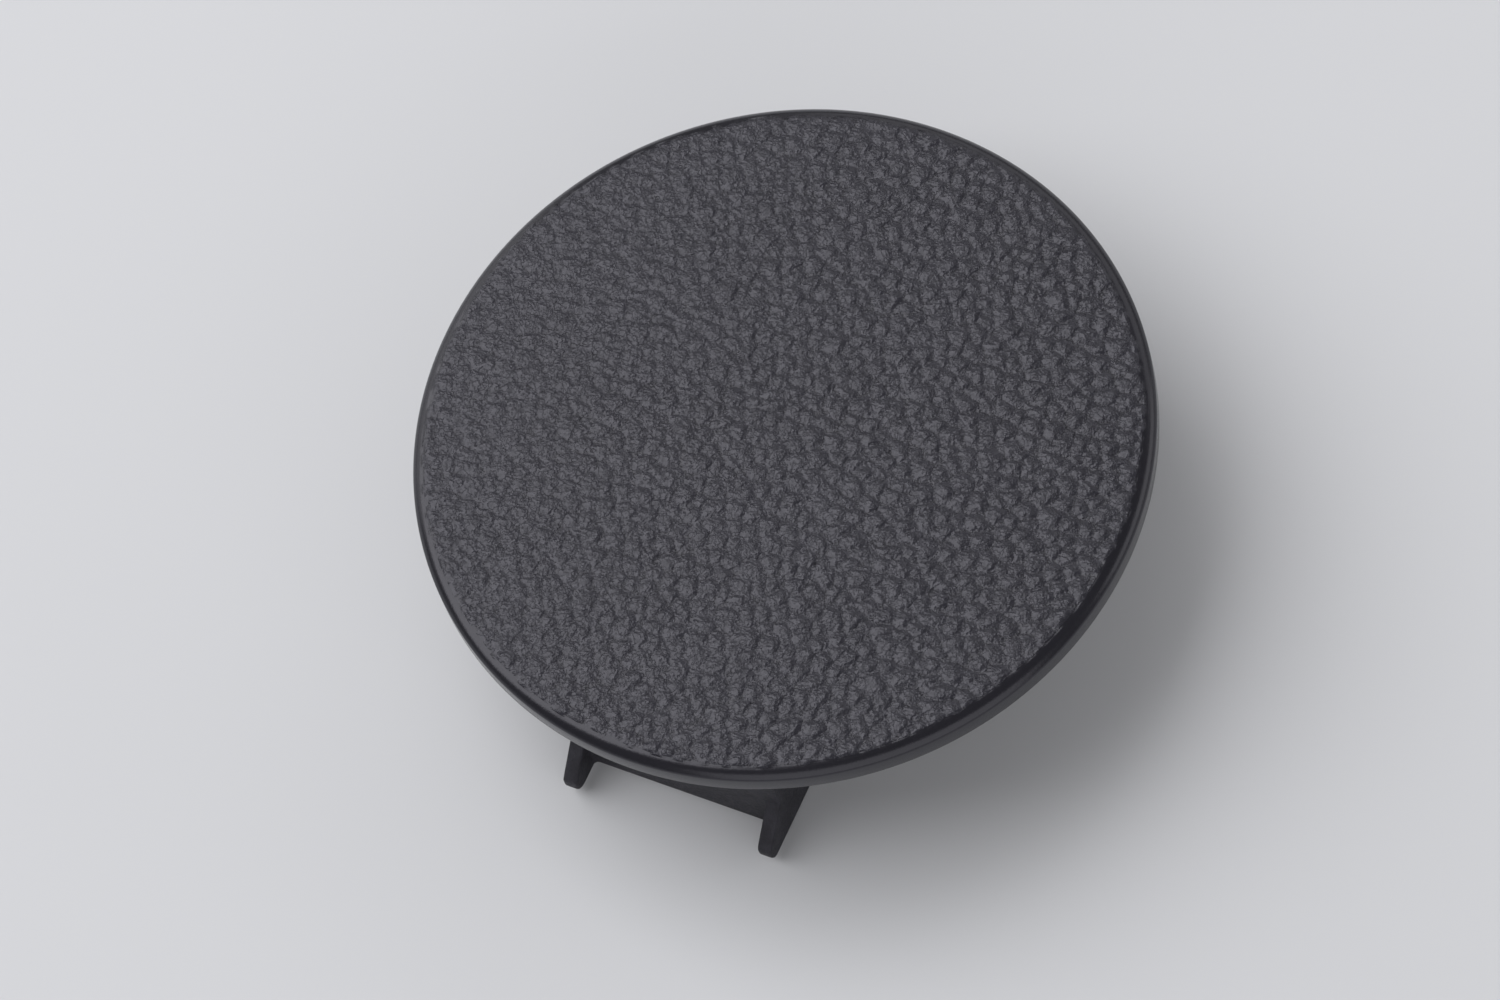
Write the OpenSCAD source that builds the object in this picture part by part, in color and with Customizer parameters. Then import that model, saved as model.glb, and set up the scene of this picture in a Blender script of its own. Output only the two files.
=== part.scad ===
// Snap-in cap for a desk grommet hole: a round cover with two flexing clips under it.
// Millimetres. The origin is on the cap's axis, in the plane of the surface that the rim rests on.
// +Z is up, the front clip stands at -Y and the rear clip at +Y.

/* [Cap] */
// Outside diameter of the cap
cap_d = 60; // [58:1:66]
// Height of the rim above the surface that it rests on
rim_h = 2.5; // [2.3:0.1:3]
// Radius of the rounded edge round the face
edge_r = 0.95; // [0.6:0.05:1.5]
// Thickness of the cap's face
face_t = 2; // [1.4:0.1:2.2]
// Width of the flat seat under the rim
seat_w = 2.2; // [1.6:0.1:2.4]
// Height of the stiffening ribs under the face
rib_h = 1.5; // [0.8:0.1:2]
// Thickness of the stiffening ribs
rib_t = 1; // [0.8:0.1:1.4]

/* [Clips] */
// Distance from the cap's axis to the front of each web
web_front = 25.4; // [24.6:0.1:25.8]
// Thickness of the web
web_t = 1.3; // [1.2:0.1:1.4]
// Depth of the web's lower edge below the seat
web_depth = 14.9; // [14.7:0.1:16]
// Width between the two cheeks of a clip
cheek_gap = 16.1; // [14:0.1:17]
// Thickness of each cheek
cheek_t = 1.25; // [1:0.05:1.5]
// Depth of the cheeks' lower edge below the seat
cheek_depth = 14.35; // [14:0.05:14.5]
// Depth below the seat at which the noses begin to stand out of the web
grip_depth = 9.6; // [8:0.1:10]
// Distance from the cap's axis to the tip of each nose
nose_reach = 28.4; // [27.6:0.1:28.6]
// Distance from the cap's axis to the inner end of each cheek
cheek_inner = 18.6; // [18:0.1:20]

/* [Fixing] */
// Thickness of the foot that holds each clip
foot_t = 1.4; // [1.2:0.1:1.6]
// Width of the foot
foot_w = 17; // [15:0.5:18]
// Distance from the cap's axis to the inner end of the foot
foot_inner = 15; // [14.5:0.1:15.5]
// Diameter of the posts that hold the feet
post_d = 2.4; // [2:0.1:2.8]
// Distance between the two posts of a foot
post_pitch = 10; // [9:0.5:11]
// Distance from the cap's axis to the posts
post_reach = 18.5; // [18:0.1:19]

/* [Hidden] */
$fn = 96;

cap_r = cap_d / 2;
under_z = rim_h - face_t;          // underside of the face
foot_z = under_z - foot_t;         // underside of the feet, and height of the flexing roots
web_back = web_front - web_t;
root_reach = web_front - web_t / 2; // distance from the cap's axis to the flexing roots
root_r = 0.75;                     // radius of the rounded top of each leg
root_fit = 0.05;                   // running clearance round it
cheek_out = cheek_gap / 2 + cheek_t;
web_edge_r = 1;                    // rounded lower front edge of the web
nose_r = 1;                        // rounded corners of the noses
heel_r = 0.8;                      // rounded inner corners of the cheeks
heel_h = 3.85;                     // height of the cheeks' inner ends
shoulder_depth = 5;                // depth at which the cheeks leave the back of the web
post_fit = 0.05;                   // clearance round the posts
post_head_d = 4;
post_head_h = 0.8;
rib_ring_r = 12.5;                 // mean radius of the round rib
rib_fan = 35;                      // angle between the straight ribs
rib_end_r = 26.4;
gate_d = 2.4;                      // moulding gate in the middle of the underside
gate_h = 0.6;
lap = 0.1;                         // overlap between shapes joined in one moulding

// Extrudes an outline drawn in (y, z) by a length along X, centred on the origin.
module along_x(length) {
    rotate([90, 0, 90]) linear_extrude(length, center = true) children();
}

// Points of an arc about a centre, from one angle to another.
function arc(centre, r, from, to, steps = 8) =
    [for (i = [0:steps]) centre + r * [cos(from + (to - from) * i / steps), sin(from + (to - from) * i / steps)]];

// Half section of the cover, drawn in (radius, z).
module cover_section() {
    difference() {
        union() {
            square([cap_r - edge_r, rim_h]);
            square([cap_r, rim_h - edge_r]);
            translate([cap_r - edge_r, rim_h - edge_r]) circle(edge_r);
        }
        translate([-1, -edge_r]) square([cap_r + 1 - seat_w, under_z + edge_r]);
        translate([0, -edge_r]) square([cap_r, edge_r]);
    }
}

// Round rib, two fans of straight ribs and the gate mark under the face.
module ribs() {
    bottom = under_z - rib_h;
    difference() {
        translate([0, 0, bottom]) cylinder(h = rib_h + lap, r = rib_ring_r + rib_t / 2);
        translate([0, 0, bottom - 1]) cylinder(h = rib_h + 2, r = rib_ring_r - rib_t / 2);
    }
    for (side = [0, 180], fan = [-rib_fan, 0, rib_fan])
        rotate([0, 0, side + fan])
            translate([rib_ring_r, -rib_t / 2, bottom]) cube([rib_end_r - rib_ring_r, rib_t, rib_h + lap]);
    translate([0, 0, under_z - gate_h]) cylinder(h = gate_h + lap, d = gate_d);
}

// One post through a foot, with its end formed into a low dome.
module post() {
    dome_r = (pow(post_head_d / 2, 2) + pow(post_head_h, 2)) / (2 * post_head_h);
    translate([0, 0, foot_z - lap]) cylinder(h = foot_t + 2 * lap, d = post_d);
    intersection() {
        translate([0, 0, foot_z - post_head_h + dome_r]) sphere(dome_r);
        translate([0, 0, foot_z - post_head_h]) cylinder(h = post_head_h, d = post_head_d + 1);
    }
}

module at_posts() {
    for (x = [-1, 1])
        translate([x * post_pitch / 2, post_reach, 0]) children();
}

module cap() {
    color("#3b3c42") {
        rotate_extrude($fn = 180) cover_section();
        ribs();
        for (side = [0, 180])
            rotate([0, 0, side]) at_posts() post();
    }
}

// The fixed foot of a clip: a plate with two post holes and a hollow that the leg's top sits in.
module clip_foot() {
    difference() {
        translate([-foot_w / 2, foot_inner, foot_z])
            cube([foot_w, web_front - foot_inner, foot_t]);
        at_posts() translate([0, 0, foot_z - 1]) cylinder(h = foot_t + 2, d = post_d + 2 * post_fit);
        translate([0, root_reach, foot_z]) rotate([0, 90, 0])
            cylinder(h = foot_w + 2, r = root_r + root_fit, center = true);
        translate([-foot_w, root_reach, foot_z - 1]) cube([2 * foot_w, web_t, 1 + root_r + root_fit]);
    }
}

// Section of the web, drawn in (y, z), with its lower front edge rounded.
module web_section() {
    difference() {
        translate([web_back, -web_depth]) square([web_t, web_depth + foot_z]);
        translate([web_front - web_edge_r, -web_depth]) difference() {
            translate([0, -1]) square([web_edge_r + 1, web_edge_r + 1]);
            translate([0, web_edge_r]) circle(web_edge_r);
        }
    }
}

// Outline of a cheek, drawn in (y, z): a strip beside the web, a heel behind it and a nose in front.
// The nose's upper edge slopes at 45 degrees, so it wedges under the edge of the hole.
module cheek_outline() {
    slope_end = -grip_depth - (nose_reach - web_front);
    slope_setback = nose_r * tan(22.5);
    polygon(concat(
        [[web_back, foot_z], [web_front, foot_z], [web_front, -grip_depth]],
        arc([nose_reach - nose_r, slope_end - slope_setback], nose_r, 45, 0),
        arc([nose_reach - nose_r, nose_r - cheek_depth], nose_r, 0, -90),
        arc([cheek_inner + heel_r, heel_r - cheek_depth], heel_r, -90, -180),
        [[cheek_inner, heel_h - cheek_depth], [web_back, -shoulder_depth]]
    ));
}

// The flexing leg of a clip: the web between two cheeks, hung from its rounded top.
module clip_leg() {
    translate([0, root_reach, foot_z]) rotate([0, 90, 0])
        cylinder(h = 2 * cheek_out, r = root_r, center = true);
    along_x(cheek_gap) web_section();
    for (side = [-1, 1])
        translate([side * (cheek_out - cheek_t / 2), 0, 0]) along_x(cheek_t) cheek_outline();
}

module rear_clip_foot() { color("#26272b") clip_foot(); }
module rear_clip_leg() { color("#2b2c31") clip_leg(); }
module front_clip_foot() { color("#26272b") rotate([0, 0, 180]) clip_foot(); }
module front_clip_leg() { color("#2b2c31") rotate([0, 0, 180]) clip_leg(); }

cap();
front_clip_foot();
front_clip_leg();
rear_clip_foot();
rear_clip_leg();
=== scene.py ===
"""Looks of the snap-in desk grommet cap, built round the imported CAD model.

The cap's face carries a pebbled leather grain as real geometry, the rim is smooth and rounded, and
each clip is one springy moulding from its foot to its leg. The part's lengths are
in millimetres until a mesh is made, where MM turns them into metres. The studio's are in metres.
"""

import math

import bpy
import numpy as np
from mathutils import Matrix, Vector


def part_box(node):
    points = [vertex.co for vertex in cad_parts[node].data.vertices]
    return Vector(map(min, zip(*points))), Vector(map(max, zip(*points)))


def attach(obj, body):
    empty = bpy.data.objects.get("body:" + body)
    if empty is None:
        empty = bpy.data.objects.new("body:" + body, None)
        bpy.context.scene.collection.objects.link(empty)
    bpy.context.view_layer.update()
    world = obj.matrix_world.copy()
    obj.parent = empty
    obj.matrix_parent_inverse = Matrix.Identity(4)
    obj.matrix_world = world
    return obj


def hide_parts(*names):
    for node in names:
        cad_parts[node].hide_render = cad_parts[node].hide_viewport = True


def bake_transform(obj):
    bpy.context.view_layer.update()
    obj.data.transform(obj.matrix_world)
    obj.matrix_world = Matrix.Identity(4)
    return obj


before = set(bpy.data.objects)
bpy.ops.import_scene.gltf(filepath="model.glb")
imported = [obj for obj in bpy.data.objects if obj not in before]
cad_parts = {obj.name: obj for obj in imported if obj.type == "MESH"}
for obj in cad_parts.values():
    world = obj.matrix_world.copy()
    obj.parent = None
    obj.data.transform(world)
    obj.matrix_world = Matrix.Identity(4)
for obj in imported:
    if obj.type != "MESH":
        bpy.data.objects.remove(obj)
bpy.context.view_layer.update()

MM = 0.001


def node_box(name):
    """Lowest and highest corners of a CAD node, in millimetres."""
    low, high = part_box(name)
    return [value / MM for value in low], [value / MM for value in high]


_, cap_high = node_box("cap")
foot_low, foot_high = node_box("rear_clip_foot")
leg_low, leg_high = node_box("rear_clip_leg")

# ---------------------------------------------------------------- cap
CAP_R = cap_high[0]
RIM_H = cap_high[2]
UNDER_Z = foot_high[2]            # underside of the face
FOOT_Z = foot_low[2]              # underside of the clip feet
SEAT_W = 2.2                      # flat seat under the rim
SHOULDER_R = 1.52                 # soft shoulder between the face and the rim's corner
SHOULDER_ARC = 55                 # how far the shoulder turns down, in degrees
CORNER_R = 0.4                    # rounded corner between the shoulder and the upright wall
SHOULDER_W = (SHOULDER_R - CORNER_R) * math.sin(math.radians(SHOULDER_ARC))
FACE_R = CAP_R - CORNER_R - SHOULDER_W
RIM_FOOT_R = 0.18                 # rounded lower edge of the wall
SEAT_LIP_R = 0.12                 # rounded inner edge of the seat
SEAT_ROOT_R = 0.16                # corner between the seat's inner wall and the underside
HUB_R = 4.0                       # innermost ring of the underside's mesh

# ---------------------------------------------------------------- leather grain
GRAIN_H = 0.19                    # from the creases to the highest pebbles, halfway across the face
GRAIN_SLOPE = 0.5                 # share by which the grain gets deeper from there to the +X edge
GRAIN_TOP = 0.11                  # how far the highest pebbles stand above the smooth rim
GRAIN_R = 28.97                   # where the grain ends
GRAIN_FADE = (0.15, 0.12)         # how far inside and outside that radius it fades
GRAIN_END_SWAY = (0.18, 0.8, 61)  # reach, bump width and seed of the wander of that end
GRAIN_CELLS = 260                 # squares across the face, each about 0.2 mm
GRAINED_RINGS = 4                 # rings of the shoulder that the grain may reach
SNAP_MARGIN = 0.3                 # mesh points this near to the face's edge stay where they are
SNAP_REACH = 0.085                # others this near to a crease are moved onto it
SLOW_SWELL = (0.05, 14, 71)       # share, bump width and seed of the slow rise and fall of it all

PEBBLES = {"spacing": 1.6, "jitter": 0.36, "size_spread": 0.11, "seed": 21}
WRINKLES = {"spacing": 0.72, "jitter": 0.4, "size_spread": 0.1, "seed": 31}
WIDE_WARP = (0.24, 1.5)           # reach and bump width of the waves that bend the creases
FINE_WARP = (0.12, 0.6)
WARP_SEEDS = (11, 12, 13, 14)     # wide and fine along X, wide and fine along Y

# The heights below are shares of the depth of the grain.
DOME_POWER = 3.4                  # the higher, the flatter the pebbles and the steeper their sides
CROWN_H = 0.70                    # height of the lowest pebbles
CROWN_SPREAD = 0.30               # how much higher the others may be
CROWN_LEAN = 0.11                 # how much a pebble leans, per millimetre
CROWN_FALL = 0.16                 # how much a crown falls towards its edge
WRINKLE_POWER = 4                 # the higher, the narrower the wrinkles
WRINKLE_H = 0.17
WRINKLE_CALM = 0.3                # how much weaker the wrinkles are on the crowns
WRINKLE_PATCH = (2.3, 41)         # bump width and seed of the patches that are wrinkled
PATCH_EDGE = (-0.4, 0.5)          # values of that noise where a patch begins and is complete
RIPPLE = (0.08, 0.62, 51)         # height, bump width and seed
FACET_H = 0.05                    # steps between the small fields that the wrinkles enclose
BASE_LIFT = 0.08
HIGHEST = 1.15                    # what the sum of all these may reach

# ---------------------------------------------------------------- ribs, posts and mould marks
LAP = 0.3                         # how far the details run up into the cover
RIB_RING_R = 12.5
RIB_T = 1.0
RIB_LOW = UNDER_Z - 1.5
RIB_END_R = 26.4
RIB_ANGLES = (-35, 0, 35, 145, 180, 215)
RIB_DRAFT = 0.08                  # how much each side of a rib leans in towards its lower edge
RIB_ROUND_R = 0.16
POST_X = 5.0
POST_Y = 18.5
POST_R = 1.2
POST_HEAD_R = 2.0
POST_HEAD_H = 0.8
POST_ROLL_R = 0.14                # rolled edge of a post's formed head
POST_ROLL_INSET = 0.2
POST_NECK = 0.05                  # how far the head's upper side reaches into the foot
POST_DOME_SHARE = 0.9             # share of the dome that is kept inside that rolled edge

# Profiles of (radius, depth below the underside of the face).
GATE = ((0, 0.6), (0.9, 0.58), (1.14, 0.5), (1.2, 0.38))
EJECTOR = ((0, 0.05), (1.6, 0.05), (1.66, 0.02))
EJECTOR_LAP = 0.2
EJECTOR_ANGLES = (17.5, 77.5, 137.5, 197.5, 257.5, 317.5)
EJECTOR_SPOT_R = 20.5             # distance of the marks from the cap's axis
CLIP_SIDE_X = 11                  # nearer to the middle plane than this, the clips are in the way

# ---------------------------------------------------------------- clips
FOOT_INNER = foot_low[1]
WEB_FRONT = foot_high[1]
WEB_T = 1.3
WEB_BACK = WEB_FRONT - WEB_T
WEB_LOW = leg_low[2]              # lower edge of the web
WEB_INSET = 0.9                   # the web ends this far inside the cheeks' outer faces
CHEEK_OUT = leg_high[0]
CHEEK_T = 1.25
CHEEK_LOW = WEB_LOW + 0.55
CHEEK_INNER = leg_low[1]
CHEEK_SETBACK = 0.02              # how far the cheeks' straight front lies behind the web's
HEEL_H = 3.85                     # height of the cheeks' inner ends
HEEL_TOP_Z = -5.0                 # where the cheeks leave the back of the web
NOSE_REACH = leg_high[1]
GRIP_Z = -9.6                     # where the noses leave the web
CLIP_VOXEL = 0.16
CLIP_SMOOTHING = 2                # rounds of smoothing that soften its edges

# ---------------------------------------------------------------- looks; colours are linear
NOISE_CORE = (0.35, 0.65)         # most values of a noise lie between these
NOISE_SPAN = (0.3, 0.7)           # nearly all of them lie between these
CAP_DARK = (0.0060, 0.0056, 0.0085)
CAP_PALE = (0.0185, 0.0179, 0.0242)
CLIP_DARK = (0.0035, 0.0032, 0.0052)
CLIP_PALE = (0.0205, 0.0197, 0.0262)
FLOOR_DARK = (0.60, 0.605, 0.63)
FLOOR_PALE = (0.62, 0.625, 0.65)
COOL_GLOSS = (0.92, 0.91, 1.0)    # tint of the reflections on the black plastics

# ---------------------------------------------------------------- studio
SENSOR_W = 36                     # millimetres, as is the lens
LENS = 180
CAMERA_TARGET = (0.15, -6.28, RIM_H)    # a point on the face, in the part's millimetres
CAMERA_AZIMUTH = 42.42            # degrees, as are the elevation and the roll
CAMERA_ELEVATION = 61.67
CAMERA_ROLL = -20.16
CAMERA_DISTANCE = 0.594
NEAR_LIMIT = 0.01                 # the camera sees nothing nearer than this
FLOOR_GAP = 0.02                  # millimetres between the webs' lower edges and the floor
FLOOR_REACH = 3.0
WORLD_STRENGTH = 0.26


# ---------------------------------------------------------------- mesh helpers
class Shells:
    """Collects closed shells, in millimetres, and turns them into one object."""

    def __init__(self):
        self.points = []
        self.faces = []
        self.count = 0

    def add(self, points, faces):
        points = np.asarray(points, float)
        self.points.append(points)
        self.faces.extend([[index + self.count for index in face] for face in faces])
        self.count += len(points)

    def to_object(self, name, material):
        mesh = bpy.data.meshes.new(name)
        mesh.from_pydata((np.concatenate(self.points) * MM).tolist(), [], self.faces)
        mesh.polygons.foreach_set("use_smooth", np.ones(len(mesh.polygons), bool))
        mesh.materials.append(material)
        mesh.validate()
        piece = bpy.data.objects.new(name, mesh)
        bpy.context.scene.collection.objects.link(piece)
        return piece


def arc(centre, radius, start, end, steps):
    """Points of an arc in the plane, from one angle to another, in degrees."""
    angles = np.radians(np.linspace(start, end, steps + 1))
    return [(centre[0] + radius * math.cos(a), centre[1] + radius * math.sin(a)) for a in angles]


def lathe(shells, profile, centre=(0.0, 0.0), segments=48):
    """Closed shell turned round a vertical line: a profile of (radius, z) from axis to axis."""
    cx, cy = centre
    angles = np.linspace(0, 2 * math.pi, segments, endpoint=False)
    inner = profile[1:-1]
    points = [(cx, cy, profile[0][1])]
    for radius, z in inner:
        points += [(cx + radius * math.cos(a), cy + radius * math.sin(a), z) for a in angles]
    points.append((cx, cy, profile[-1][1]))
    last = len(points) - 1
    top = 1 + (len(inner) - 1) * segments
    faces = []
    for i in range(segments):
        j = (i + 1) % segments
        faces.append([0, 1 + i, 1 + j])
        for ring in range(len(inner) - 1):
            base = 1 + ring * segments
            faces.append([base + i, base + segments + i, base + segments + j, base + j])
        faces.append([last, top + j, top + i])
    shells.add(points, faces)


def ring_tube(shells, profile, segments=160):
    """Closed ring turned round the cap's axis from a closed profile of (radius, z)."""
    angles = np.linspace(0, 2 * math.pi, segments, endpoint=False)
    points = [(r * math.cos(a), r * math.sin(a), z) for r, z in profile for a in angles]
    faces = []
    for ring in range(len(profile)):
        base = ring * segments
        below = (ring + 1) % len(profile) * segments
        for i in range(segments):
            j = (i + 1) % segments
            faces.append([base + i, below + i, below + j, base + j])
    shells.add(points, faces)


def prism(shells, outline, low, high):
    """Closed prism along X from an outline of (y, z)."""
    count = len(outline)
    points = [(x, y, z) for x in (low, high) for y, z in outline]
    faces = [list(range(count))[::-1], list(range(count, 2 * count))]
    for i in range(count):
        j = (i + 1) % count
        faces.append([i, j, count + j, count + i])
    shells.add(points, faces)


# ---------------------------------------------------------------- making the grain
def smoothstep(low, high, value):
    """0 below low, 1 above high, and a smooth rise between them."""
    t = np.clip((value - low) / (high - low), 0, 1)
    return t * t * (3 - 2 * t)


def value_noise(x, y, cell, seed):
    """Smooth noise from -1 to 1 whose bumps are about one cell wide."""
    size, middle = 512, 200
    table = np.random.default_rng(seed).uniform(-1, 1, (size, size))
    u, v = x / cell + middle, y / cell + middle
    i, j = np.floor(u).astype(int), np.floor(v).astype(int)
    fu, fv = u - i, v - j
    fu, fv = fu * fu * (3 - 2 * fu), fv * fv * (3 - 2 * fv)
    i, j = i % (size - 1), j % (size - 1)
    low = table[i, j] * (1 - fu) + table[i + 1, j] * fu
    high = table[i, j + 1] * (1 - fu) + table[i + 1, j + 1] * fu
    return low * (1 - fv) + high * fv


class Pebbles:
    """Irregular cells round the points of a triangular lattice, each point moved at random."""

    def __init__(self, spacing, jitter, size_spread, seed):
        rng = np.random.default_rng(seed)
        count = int(2.4 * CAP_R / spacing / 0.86) + 8    # enough rows to cover the whole cap
        self.spacing = spacing
        self.row = spacing * math.sqrt(3) / 2
        self.half = count // 2
        self.shift = rng.uniform(-jitter, jitter, (2, count, count)) * spacing
        self.weight = rng.uniform(-size_spread, size_spread, (count, count)) * spacing
        self.level = rng.uniform(0, 1, (count, count))
        self.tilt = rng.normal(0, 1, (2, count, count))

    def nearest(self, x, y):
        """For each point: its cell's level and lean, how near the crease is, and the way to it."""
        count = len(x)
        first, second = np.full(count, np.inf), np.full(count, np.inf)
        home, other = np.zeros((4, count)), np.zeros((4, count))
        for row_step in range(-2, 3):
            row = np.floor(y / self.row).astype(int) + row_step
            offset = 0.5 * (row % 2)
            for column_step in range(-2, 3):
                column = np.floor(x / self.spacing - offset).astype(int) + column_step
                i, j = row + self.half, column + self.half
                sx = (column + 0.5 + offset) * self.spacing + self.shift[0, i, j]
                sy = (row + 0.5) * self.row + self.shift[1, i, j]
                gap = np.maximum(np.hypot(x - sx, y - sy) - self.weight[i, j], 0)
                lean = self.tilt[0, i, j] * (x - sx) + self.tilt[1, i, j] * (y - sy)
                here = np.stack([self.level[i, j], lean, sx, sy])
                nearer, next_one = gap < first, gap < second
                other = np.where(nearer, home, np.where(next_one, here, other))
                second = np.where(nearer, first, np.where(next_one, gap, second))
                home = np.where(nearer, here, home)
                first = np.where(nearer, gap, first)
        way = other[2:] - home[2:]
        way /= np.hypot(*way)
        return {"level": home[0], "lean": home[1], "edge": 2 * first / (first + second),
                "to_crease": (second - first) / 2, "way": way}


def warped(x, y):
    """The point moved a little at random, so that straight cell edges turn into natural creases."""
    wide, wide_cell = WIDE_WARP
    fine, fine_cell = FINE_WARP
    a, b, c, d = WARP_SEEDS
    return (x + wide * value_noise(x, y, wide_cell, a) + fine * value_noise(x, y, fine_cell, b),
            y + wide * value_noise(x, y, wide_cell, c) + fine * value_noise(x, y, fine_cell, d))


def snapped(x, y):
    """Points close to a crease, moved onto it so that its bottom stays crisp."""
    cell = Pebbles(**PEBBLES).nearest(*warped(x, y))
    step = np.where(cell["to_crease"] < SNAP_REACH, cell["to_crease"], 0)
    return x + step * cell["way"][0], y + step * cell["way"][1]


def deepening(x):
    """The grain is shallower on the -X side of the face and deeper on the +X side."""
    return 1 + GRAIN_SLOPE * x / CAP_R


def grain_height(x, y):
    """Height of the leather grain, from 0 in the creases to 1 on the highest pebbles."""
    wx, wy = warped(x, y)
    cell = Pebbles(**PEBBLES).nearest(wx, wy)
    fine = Pebbles(**WRINKLES).nearest(wx, wy)
    dome = 1 - cell["edge"] ** DOME_POWER
    crown = CROWN_H + CROWN_SPREAD * cell["level"] + CROWN_LEAN * cell["lean"]
    crown -= CROWN_FALL * cell["edge"] ** 2
    wrinkle = fine["edge"] ** WRINKLE_POWER
    creased = smoothstep(*PATCH_EDGE, value_noise(x, y, *WRINKLE_PATCH)) * deepening(x)
    ripple_h, *ripple = RIPPLE
    height = dome * crown
    height -= WRINKLE_H * creased * wrinkle * (1 - WRINKLE_CALM * dome)
    height += ripple_h * value_noise(x, y, *ripple)
    height += FACET_H * (fine["level"] - 0.5) * (1 - wrinkle)
    return np.clip(height + BASE_LIFT, 0, HIGHEST) / HIGHEST


def raise_grain(points):
    """Raises the grain on points of the face, and returns its relief and where it is at all."""
    x, y = points[:, 0], points[:, 1]
    sway, *end_noise = GRAIN_END_SWAY
    radius = np.hypot(x, y) + sway * value_noise(x, y, *end_noise)
    grained = 1 - smoothstep(GRAIN_R - GRAIN_FADE[0], GRAIN_R + GRAIN_FADE[1], radius)
    relief = grain_height(x, y)
    share, *swell_noise = SLOW_SWELL
    swell = 0.5 + 0.5 * value_noise(x, y, *swell_noise)
    depth = GRAIN_H * deepening(x)
    points[:, 2] += grained * (depth * ((1 - share) * relief + share * swell - 1) + GRAIN_TOP)
    return relief * grained, grained


# ---------------------------------------------------------------- building the cap
def disc_grid(cells):
    """A square grid mapped evenly onto the unit disc: x, y, quads, and the boundary in order."""
    line = np.linspace(-1, 1, cells + 1)
    a, b = np.meshgrid(line, line, indexing="ij")
    wide = np.abs(a) > np.abs(b)
    safe_a, safe_b = np.where(a == 0, 1, a), np.where(b == 0, 1, b)
    radius = np.where(wide, a, b)
    angle = np.where(wide, math.pi / 4 * b / safe_a, math.pi / 2 - math.pi / 4 * a / safe_b)
    x, y = (radius * np.cos(angle)).ravel(), (radius * np.sin(angle)).ravel()
    index = np.arange((cells + 1) ** 2).reshape(cells + 1, cells + 1)
    quads = np.stack([index[:-1, :-1], index[1:, :-1], index[1:, 1:], index[:-1, 1:]], -1)
    edge = np.unique(np.concatenate([index[0], index[-1], index[:, 0], index[:, -1]]))
    edge = edge[np.argsort(np.arctan2(y[edge], x[edge]))]
    return x, y, quads.reshape(-1, 4).tolist(), edge


def rim_profile():
    """Section of the cap from the edge of the face round to its underside, as (radius, z)."""
    turn = math.radians(SHOULDER_ARC)
    top = RIM_H - GRAIN_TOP
    corner_z = top - SHOULDER_R * (1 - math.cos(turn)) - CORNER_R * math.cos(turn)
    seat_r = CAP_R - SEAT_W
    root_centre = (seat_r - SEAT_ROOT_R, UNDER_Z - SEAT_ROOT_R)
    shoulder = arc((FACE_R, top - SHOULDER_R), SHOULDER_R, 90, 90 - SHOULDER_ARC, 8)[1:]
    corner = arc((CAP_R - CORNER_R, corner_z), CORNER_R, 90 - SHOULDER_ARC, 0, 4)[1:]
    foot = arc((CAP_R - RIM_FOOT_R, RIM_FOOT_R), RIM_FOOT_R, 0, -90, 3)
    lip = arc((seat_r + SEAT_LIP_R, SEAT_LIP_R), SEAT_LIP_R, -90, -180, 2)
    root = arc(root_centre, SEAT_ROOT_R, 0, 90, 2)
    underside = [(RIB_END_R, UNDER_Z), (RIB_RING_R, UNDER_Z), (HUB_R, UNDER_Z)]
    return shoulder + corner + foot + lip + root + underside


def cover_shell(shells):
    """The grained face, the rounded edge, the rim, the seat and the underside, as one closed shell."""
    x, y, faces, edge = disc_grid(GRAIN_CELLS)
    x, y = x * FACE_R, y * FACE_R
    inside = np.hypot(x, y) < FACE_R - SNAP_MARGIN
    x[inside], y[inside] = snapped(x[inside], y[inside])
    profile = rim_profile()
    angle = np.arctan2(y[edge], x[edge])
    rings = [np.stack([x, y, np.full(len(x), RIM_H - GRAIN_TOP)], 1)]
    for radius, z in profile:
        level = np.full(len(edge), z)
        rings.append(np.stack([radius * np.cos(angle), radius * np.sin(angle), level], 1))
    points = np.concatenate(rings + [[[0, 0, UNDER_Z]]])
    ring = edge.tolist()
    for step in range(len(profile)):
        start = len(x) + step * len(edge)
        below = list(range(start, start + len(edge)))
        for i in range(len(ring)):
            j = (i + 1) % len(ring)
            faces.append([ring[i], below[i], below[j], ring[j]])
        ring = below
    centre = len(points) - 1
    for i in range(len(ring)):
        faces.append([ring[i], centre, ring[(i + 1) % len(ring)]])
    reached = len(x) + GRAINED_RINGS * len(edge)
    relief, grained = np.zeros(len(points)), np.zeros(len(points))
    relief[:reached], grained[:reached] = raise_grain(points[:reached])
    shells.add(points, faces)
    return {"relief": relief, "grained": grained}


def round_rib(shells):
    """The round rib, with rounded lower edges."""
    half = RIB_T / 2
    inset = half - RIB_DRAFT - RIB_ROUND_R
    section = [(RIB_RING_R + half, UNDER_Z + LAP)]
    section += arc((RIB_RING_R + inset, RIB_LOW + RIB_ROUND_R), RIB_ROUND_R, 0, -90, 3)
    section += arc((RIB_RING_R - inset, RIB_LOW + RIB_ROUND_R), RIB_ROUND_R, -90, -180, 3)
    section += [(RIB_RING_R - half, UNDER_Z + LAP)]
    ring_tube(shells, section)


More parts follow.
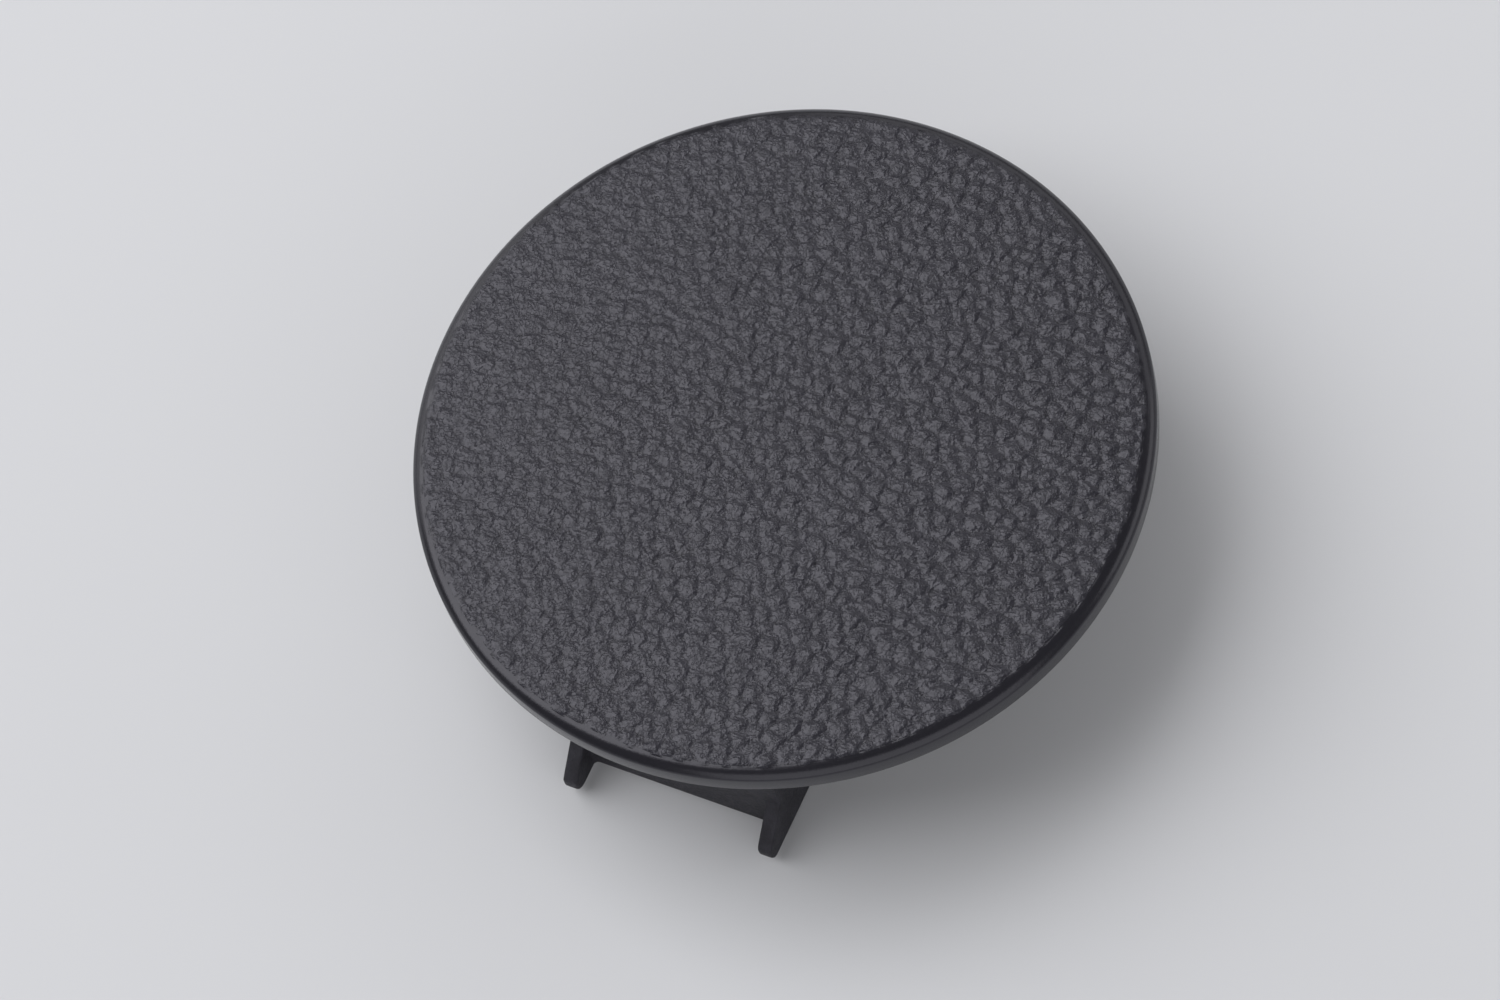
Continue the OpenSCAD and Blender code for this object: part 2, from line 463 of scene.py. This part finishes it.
def straight_rib(shells, angle):
    """A drafted rib with rounded lower edges, running outwards under the face."""
    half, round_z = RIB_T / 2, RIB_LOW + RIB_ROUND_R
    section = [(half, UNDER_Z + LAP), (half - RIB_DRAFT, round_z)]
    section += arc((half - RIB_DRAFT - RIB_ROUND_R, round_z), RIB_ROUND_R, 0, -90, 3)[1:]
    section += [(-x, z) for x, z in section[::-1]]
    count = len(section)
    points = [(run, x, z) for run in (RIB_RING_R, RIB_END_R) for x, z in section]
    faces = [list(range(count)), list(range(count, 2 * count))[::-1]]
    for i in range(count):
        j = (i + 1) % count
        faces.append([i, count + i, count + j, j])
    turn = np.array(Matrix.Rotation(math.radians(angle), 3, "Z"))
    shells.add(np.array(points) @ turn.T, faces)


def clip_posts(shells):
    """The four posts through the clips' feet, with their ends formed into low domes."""
    dome_r = (POST_HEAD_R ** 2 + POST_HEAD_H ** 2) / (2 * POST_HEAD_H)
    span = math.degrees(math.asin(POST_HEAD_R / dome_r))
    dome = arc((0, FOOT_Z - POST_HEAD_H + dome_r), dome_r, -90 + span * POST_DOME_SHARE, -90, 8)[::-1]
    roll_centre = (POST_HEAD_R - POST_ROLL_INSET, FOOT_Z - POST_ROLL_R)
    roll = arc(roll_centre, POST_ROLL_R, -60, 80, 4)
    shaft = [(POST_R, FOOT_Z + POST_NECK), (POST_R, UNDER_Z + LAP), (0, UNDER_Z + LAP)]
    for x in (-POST_X, POST_X):
        for y in (-POST_Y, POST_Y):
            lathe(shells, dome + roll + shaft, (x, y))


def stub(shells, profile, lap, centre=(0.0, 0.0)):
    """A low turned mark under the face, from a profile of (radius, depth below the underside)."""
    side_r = profile[-1][0]
    section = [(radius, UNDER_Z - depth) for radius, depth in profile]
    lathe(shells, section + [(side_r, UNDER_Z + lap), (0, UNDER_Z + lap)], centre)


def mould_marks(shells):
    """The gate in the middle of the underside, and ejector marks clear of the clips."""
    stub(shells, GATE, LAP)
    for angle in EJECTOR_ANGLES:
        turn = math.radians(angle)
        spot = (EJECTOR_SPOT_R * math.cos(turn), EJECTOR_SPOT_R * math.sin(turn))
        if abs(spot[0]) > CLIP_SIDE_X:
            stub(shells, EJECTOR, EJECTOR_LAP, spot)


def build_cap(material):
    """The cap, with the grain's relief and extent kept on its points for the material."""
    shells = Shells()
    attributes = cover_shell(shells)
    round_rib(shells)
    for angle in RIB_ANGLES:
        straight_rib(shells, angle)
    clip_posts(shells)
    mould_marks(shells)
    cap = shells.to_object("grained_cap", material)
    for name, known in attributes.items():
        values = np.zeros(len(cap.data.vertices), np.float32)
        values[: len(known)] = known
        cap.data.attributes.new(name, "FLOAT", "POINT").data.foreach_set("value", values)
    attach(cap, "cap")
    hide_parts("cap")


# ---------------------------------------------------------------- building the clips
def web_outline():
    """Section of the foot and web in (y, z), with a rounded shoulder and lower front edge."""
    front_r, back_r, inner_r, shoulder_r = 1.0, 0.28, 0.7, 0.35
    points = [(FOOT_INNER, UNDER_Z)]
    points += arc((WEB_FRONT - shoulder_r, UNDER_Z - shoulder_r), shoulder_r, 90, 0, 4)
    points += arc((WEB_FRONT - front_r, WEB_LOW + front_r), front_r, 0, -90, 7)
    points += arc((WEB_BACK + back_r, WEB_LOW + back_r), back_r, -90, -180, 3)
    points += arc((WEB_BACK - inner_r, FOOT_Z - inner_r), inner_r, 0, 90, 5)
    points += [(FOOT_INNER, FOOT_Z)]
    return points[::-1]


def cheek_outline():
    """Section of a cheek: a strip beside the web, a heel behind it and a nose in front."""
    nose_r, heel_r = 1.0, 0.8
    front = WEB_FRONT - CHEEK_SETBACK
    slope_end = GRIP_Z - (NOSE_REACH - WEB_FRONT)
    slope_setback = nose_r * math.tan(math.radians(22.5))
    points = [(WEB_BACK, FOOT_Z), (front, FOOT_Z), (front, GRIP_Z)]
    points += arc((NOSE_REACH - nose_r, slope_end - slope_setback), nose_r, 45, 0, 5)
    points += arc((NOSE_REACH - nose_r, CHEEK_LOW + nose_r), nose_r, 0, -90, 7)
    points += arc((CHEEK_INNER + heel_r, CHEEK_LOW + heel_r), heel_r, -90, -180, 6)
    points += [(CHEEK_INNER, CHEEK_LOW + HEEL_H), (WEB_BACK, HEEL_TOP_Z)]
    return points[::-1]


def fuse(piece):
    """Turns a piece's overlapping shells into one moulding with soft edges and inner corners."""
    remesh = piece.modifiers.new("moulding", "REMESH")
    remesh.mode = "VOXEL"
    remesh.voxel_size = CLIP_VOXEL * MM
    remesh.use_smooth_shade = True
    soften = piece.modifiers.new("edges", "SMOOTH")
    soften.factor = 0.5
    soften.iterations = CLIP_SMOOTHING
    bpy.context.view_layer.update()
    shaped = piece.evaluated_get(bpy.context.evaluated_depsgraph_get())
    mesh = bpy.data.meshes.new_from_object(shaped)
    piece.modifiers.clear()
    piece.data = mesh


def build_clip(word, side, material):
    """One springy clip moulding; side is 1 for the rear clip and -1 for the front one."""
    shells = Shells()
    prism(shells, web_outline(), -CHEEK_OUT + WEB_INSET, CHEEK_OUT - WEB_INSET)
    prism(shells, cheek_outline(), CHEEK_OUT - CHEEK_T, CHEEK_OUT)
    prism(shells, cheek_outline(), -CHEEK_OUT, CHEEK_T - CHEEK_OUT)
    clip = shells.to_object(word + "_clip", material)
    clip.data.transform(Matrix.Rotation(0 if side > 0 else math.pi, 4, "Z"))
    fuse(clip)
    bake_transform(clip)
    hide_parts(word + "_clip_foot", word + "_clip_leg")


# ---------------------------------------------------------------- node helpers
class Nodes:
    """A short way to build a node material."""

    def __init__(self, name):
        self.material = bpy.data.materials.new(name)
        self.material.use_nodes = True
        self.tree = self.material.node_tree
        self.tree.nodes.clear()

    def add(self, kind, **settings):
        node = self.tree.nodes.new(kind)
        for key, value in settings.items():
            setattr(node, key, value)
        return node

    def link(self, source, target):
        self.tree.links.new(source, target)


def millimetre_coordinates(nodes):
    """Object coordinates in millimetres, so that a noise scale of 1 has bumps of about 1 mm."""
    place = nodes.add("ShaderNodeTexCoord")
    scale = nodes.add("ShaderNodeMapping")
    scale.inputs["Scale"].default_value = (1 / MM, 1 / MM, 1 / MM)
    nodes.link(place.outputs["Object"], scale.inputs["Vector"])
    return scale.outputs["Vector"]


def attribute(nodes, name):
    """A value kept on the mesh's points."""
    return nodes.add("ShaderNodeAttribute", attribute_name=name).outputs["Fac"]


def noise(nodes, vector, scale, detail=2.0, roughness=0.5):
    """Noise from 0 to 1 whose bumps are about 1/scale millimetres wide."""
    texture = nodes.add("ShaderNodeTexNoise")
    texture.inputs["Scale"].default_value = scale
    texture.inputs["Detail"].default_value = detail
    texture.inputs["Roughness"].default_value = roughness
    nodes.link(vector, texture.inputs["Vector"])
    return texture.outputs["Fac"]


def ramp(nodes, source, low, high, from_value=0.0, to_value=1.0):
    """Goes smoothly from low to high while the source goes from from_value to to_value."""
    node = nodes.add("ShaderNodeMapRange", interpolation_type="SMOOTHSTEP")
    node.inputs["From Min"].default_value = from_value
    node.inputs["From Max"].default_value = to_value
    node.inputs["To Min"].default_value = low
    node.inputs["To Max"].default_value = high
    nodes.link(source, node.inputs["Value"])
    return node.outputs["Result"]


def folds(nodes, source):
    """Thin winding ridges, where a noise passes through its middle value."""
    offset = nodes.add("ShaderNodeMath", operation="SUBTRACT")
    offset.inputs[1].default_value = 0.5
    nodes.link(source, offset.inputs[0])
    size = nodes.add("ShaderNodeMath", operation="ABSOLUTE")
    nodes.link(offset.outputs[0], size.inputs[0])
    return ramp(nodes, size.outputs[0], 1, 0, 0, 0.05)


def mix_colour(nodes, factor, dark, pale):
    """Goes from the dark colour to the pale one while the factor goes from 0 to 1."""
    node = nodes.add("ShaderNodeMix", data_type="RGBA")
    colours = {"A": (*dark, 1), "B": (*pale, 1)}
    for socket in node.inputs:
        if socket.type == "RGBA":
            socket.default_value = colours[socket.name]
    nodes.link(factor, node.inputs["Factor"])
    return [socket for socket in node.outputs if socket.type == "RGBA"][0]


def combine(nodes, operation, first, second):
    """Sum or product of two values."""
    node = nodes.add("ShaderNodeMath", operation=operation)
    nodes.link(first, node.inputs[0])
    nodes.link(second, node.inputs[1])
    return node.outputs[0]


def bump(nodes, height, distance, strength=1.0, normal=None):
    """Bumps this many millimetres high, on top of another bump's normal if there is one."""
    node = nodes.add("ShaderNodeBump")
    node.inputs["Distance"].default_value = distance * MM
    node.inputs["Strength"].default_value = strength
    nodes.link(height, node.inputs["Height"])
    if normal is not None:
        nodes.link(normal, node.inputs["Normal"])
    return node.outputs["Normal"]


def finish_material(nodes, colour, roughness, normal, specular, tint=(1, 1, 1)):
    """Joins the parts of a surface and returns its material."""
    shader = nodes.add("ShaderNodeBsdfPrincipled")
    shader.inputs["Specular IOR Level"].default_value = specular
    shader.inputs["Specular Tint"].default_value = (*tint, 1)
    nodes.link(colour, shader.inputs["Base Color"])
    nodes.link(roughness, shader.inputs["Roughness"])
    nodes.link(normal, shader.inputs["Normal"])
    output = nodes.add("ShaderNodeOutputMaterial")
    nodes.link(shader.outputs["BSDF"], output.inputs["Surface"])
    return nodes.material


# ---------------------------------------------------------------- materials
def cap_tone(nodes, relief, mottle, cloud, fold):
    """How pale the cap's plastic is: random mottling and clouds, with painted shade darkest in the
    creases and painted highlights on the fold ridges and crease flanks.
    """
    mottled = ramp(nodes, mottle, 0.3, 1.1, *NOISE_SPAN)
    # Painted shade: the colour darkens towards the creases, following the grain's relief.
    crease_shade = ramp(nodes, relief, 0.1, 1, 0, 0.6)
    body = combine(nodes, "MULTIPLY", mottled, crease_shade)
    clouded = combine(nodes, "ADD", body, ramp(nodes, cloud, 0, 0.15, *NOISE_SPAN))
    # Painted highlight: paler along the fold ridges, more so on the higher grain.
    ridges = combine(nodes, "MULTIPLY", ramp(nodes, fold, 0, 0.5), relief)
    folded = combine(nodes, "ADD", clouded, ridges)
    # Painted highlight: paler on the crease flanks just above the creases, broken up by the mottle.
    above_crease = ramp(nodes, relief, 0, 1, 0.08, 0.22)
    below_crown = ramp(nodes, relief, 1, 0, 0.34, 0.52)
    flank = combine(nodes, "MULTIPLY", above_crease, below_crown)
    flank_highlight = combine(nodes, "MULTIPLY", ramp(nodes, mottle, 0.2, 1.3, *NOISE_SPAN), flank)
    return combine(nodes, "ADD", folded, flank_highlight)


def cap_plastic():
    """Charcoal moulded plastic: mottled and finely folded on the grain, with painted shade in the
    creases and painted highlights on ridges and crease flanks, satin on the rim.
    """
    nodes = Nodes("cap_plastic")
    place = millimetre_coordinates(nodes)
    relief = attribute(nodes, "relief")
    grained = attribute(nodes, "grained")
    cloud = noise(nodes, place, 0.09, 3.0)
    mottle = noise(nodes, place, 2.6, 1.5, 0.6)
    speck = noise(nodes, place, 7.0, 2.0, 0.6)
    fold = folds(nodes, noise(nodes, place, 1.5, 2.0, 0.6))
    colour = mix_colour(nodes, cap_tone(nodes, relief, mottle, cloud, fold), CAP_DARK, CAP_PALE)
    satin = ramp(nodes, speck, 0.19, 0.25, *NOISE_CORE)
    matte = ramp(nodes, mottle, 0.14, 0.02, *NOISE_CORE)
    roughness = combine(nodes, "ADD", satin, combine(nodes, "MULTIPLY", matte, grained))
    texture = combine(nodes, "ADD", mottle, ramp(nodes, fold, 0, 0.28))
    height = combine(nodes, "MULTIPLY", texture, grained)
    normal = bump(nodes, height, 0.105, normal=bump(nodes, speck, 0.006))
    return finish_material(nodes, colour, roughness, normal, 0.5, COOL_GLOSS)


def clip_plastic():
    """Near-black plastic with the fine texture of a spark-eroded mould."""
    nodes = Nodes("clip_plastic")
    place = millimetre_coordinates(nodes)
    cloud = noise(nodes, place, 0.9, 3.0, 0.6)
    spark = noise(nodes, place, 4.0, 4.0, 0.7)
    blotches = ramp(nodes, cloud, 0, 0.6, *NOISE_CORE)
    tone = combine(nodes, "ADD", blotches, ramp(nodes, spark, 0, 0.4, *NOISE_CORE))
    colour = mix_colour(nodes, tone, CLIP_DARK, CLIP_PALE)
    roughness = ramp(nodes, spark, 0.46, 0.62, *NOISE_SPAN)
    return finish_material(nodes, colour, roughness, bump(nodes, spark, 0.10), 0.45, COOL_GLOSS)


def floor_paint():
    """Pale cool grey paint with a slow change of tone."""
    nodes = Nodes("floor")
    place = millimetre_coordinates(nodes)
    cloud = noise(nodes, place, 0.01, 2.0)
    colour = mix_colour(nodes, cloud, FLOOR_DARK, FLOOR_PALE)
    roughness = ramp(nodes, cloud, 0.75, 0.85)
    normal = bump(nodes, noise(nodes, place, 1.0), 0.01, strength=0.05)
    return finish_material(nodes, colour, roughness, normal, 0.2)


# ---------------------------------------------------------------- camera, floor and lights
def facing(azimuth, elevation):
    """Unit vector towards a place seen at that azimuth and elevation; azimuth 0 is at -Y."""
    a, e = math.radians(azimuth), math.radians(elevation)
    return Vector((math.sin(a) * math.cos(e), -math.cos(a) * math.cos(e), math.sin(e)))


def aimed(location, target, roll=0.0):
    """World matrix of a camera or lamp that looks at a target, turned by roll degrees."""
    back = (location - target).normalized()
    right = Vector((0, 0, 1)).cross(back).normalized()
    up = back.cross(right)
    c, s = math.cos(math.radians(roll)), math.sin(math.radians(roll))
    columns = [right * c + up * s, up * c - right * s, back]
    matrix = Matrix([[columns[j][i] for j in range(3)] for i in range(3)]).to_4x4()
    matrix.translation = location
    return matrix


def add_camera():
    """The camera of the still picture, with a long lens from above the front right."""
    data = bpy.data.cameras.new("camera")
    data.sensor_width = SENSOR_W
    data.lens = LENS
    data.clip_start = NEAR_LIMIT
    camera = bpy.data.objects.new("camera", data)
    bpy.context.scene.collection.objects.link(camera)
    target = Vector(CAMERA_TARGET) * MM
    place = target + facing(CAMERA_AZIMUTH, CAMERA_ELEVATION) * CAMERA_DISTANCE
    camera.matrix_world = aimed(place, target, CAMERA_ROLL)
    bpy.context.scene.camera = camera


def add_floor():
    """A plain floor just under the clips."""
    floor_z = (WEB_LOW - FLOOR_GAP) * MM
    signs = ((-1, -1), (1, -1), (1, 1), (-1, 1))
    mesh = bpy.data.meshes.new("floor")
    mesh.from_pydata([(x * FLOOR_REACH, y * FLOOR_REACH, floor_z) for x, y in signs], [], [(0, 1, 2, 3)])
    mesh.materials.append(floor_paint())
    floor = bpy.data.objects.new("floor", mesh)
    bpy.context.scene.collection.objects.link(floor)


def add_world():
    """An even white surround."""
    world = bpy.data.worlds.new("studio")
    world.use_nodes = True
    background = world.node_tree.nodes["Background"]
    background.inputs["Color"].default_value = (1, 1, 1, 1)
    background.inputs["Strength"].default_value = WORLD_STRENGTH
    bpy.context.scene.world = world


def softbox(name, azimuth, elevation, distance, size, power):
    """A rectangular lamp aimed at the origin, with its power in watts."""
    data = bpy.data.lights.new(name, "AREA")
    data.shape = "RECTANGLE"
    data.size, data.size_y = size
    data.energy = power
    lamp = bpy.data.objects.new(name, data)
    bpy.context.scene.collection.objects.link(lamp)
    lamp.matrix_world = aimed(facing(azimuth, elevation) * distance, Vector((0, 0, 0)))


def add_lamps():
    """A large key lamp for the face, and smaller ones that the shoulder and the rim reflect."""
    softbox("key", azimuth=-85, elevation=54, distance=1.2, size=(1.36, 1.36), power=14.4)
    softbox("back", azimuth=-150, elevation=64, distance=0.9, size=(0.5, 0.5), power=0.6)
    softbox("left", azimuth=-105, elevation=14, distance=0.9, size=(0.7, 0.35), power=0.7)
    softbox("right", azimuth=125, elevation=16, distance=0.9, size=(0.7, 0.35), power=0.9)
    softbox("front", azimuth=38, elevation=20, distance=0.9, size=(1.4, 0.66), power=2.9)
    softbox("rear", azimuth=180, elevation=28, distance=0.9, size=(1.0, 0.45), power=1.1)


add_camera()
add_floor()
add_world()
add_lamps()
bpy.context.scene.view_settings.view_transform = "Standard"
build_cap(cap_plastic())
clip_material = clip_plastic()
build_clip("front", -1, clip_material)
build_clip("rear", 1, clip_material)
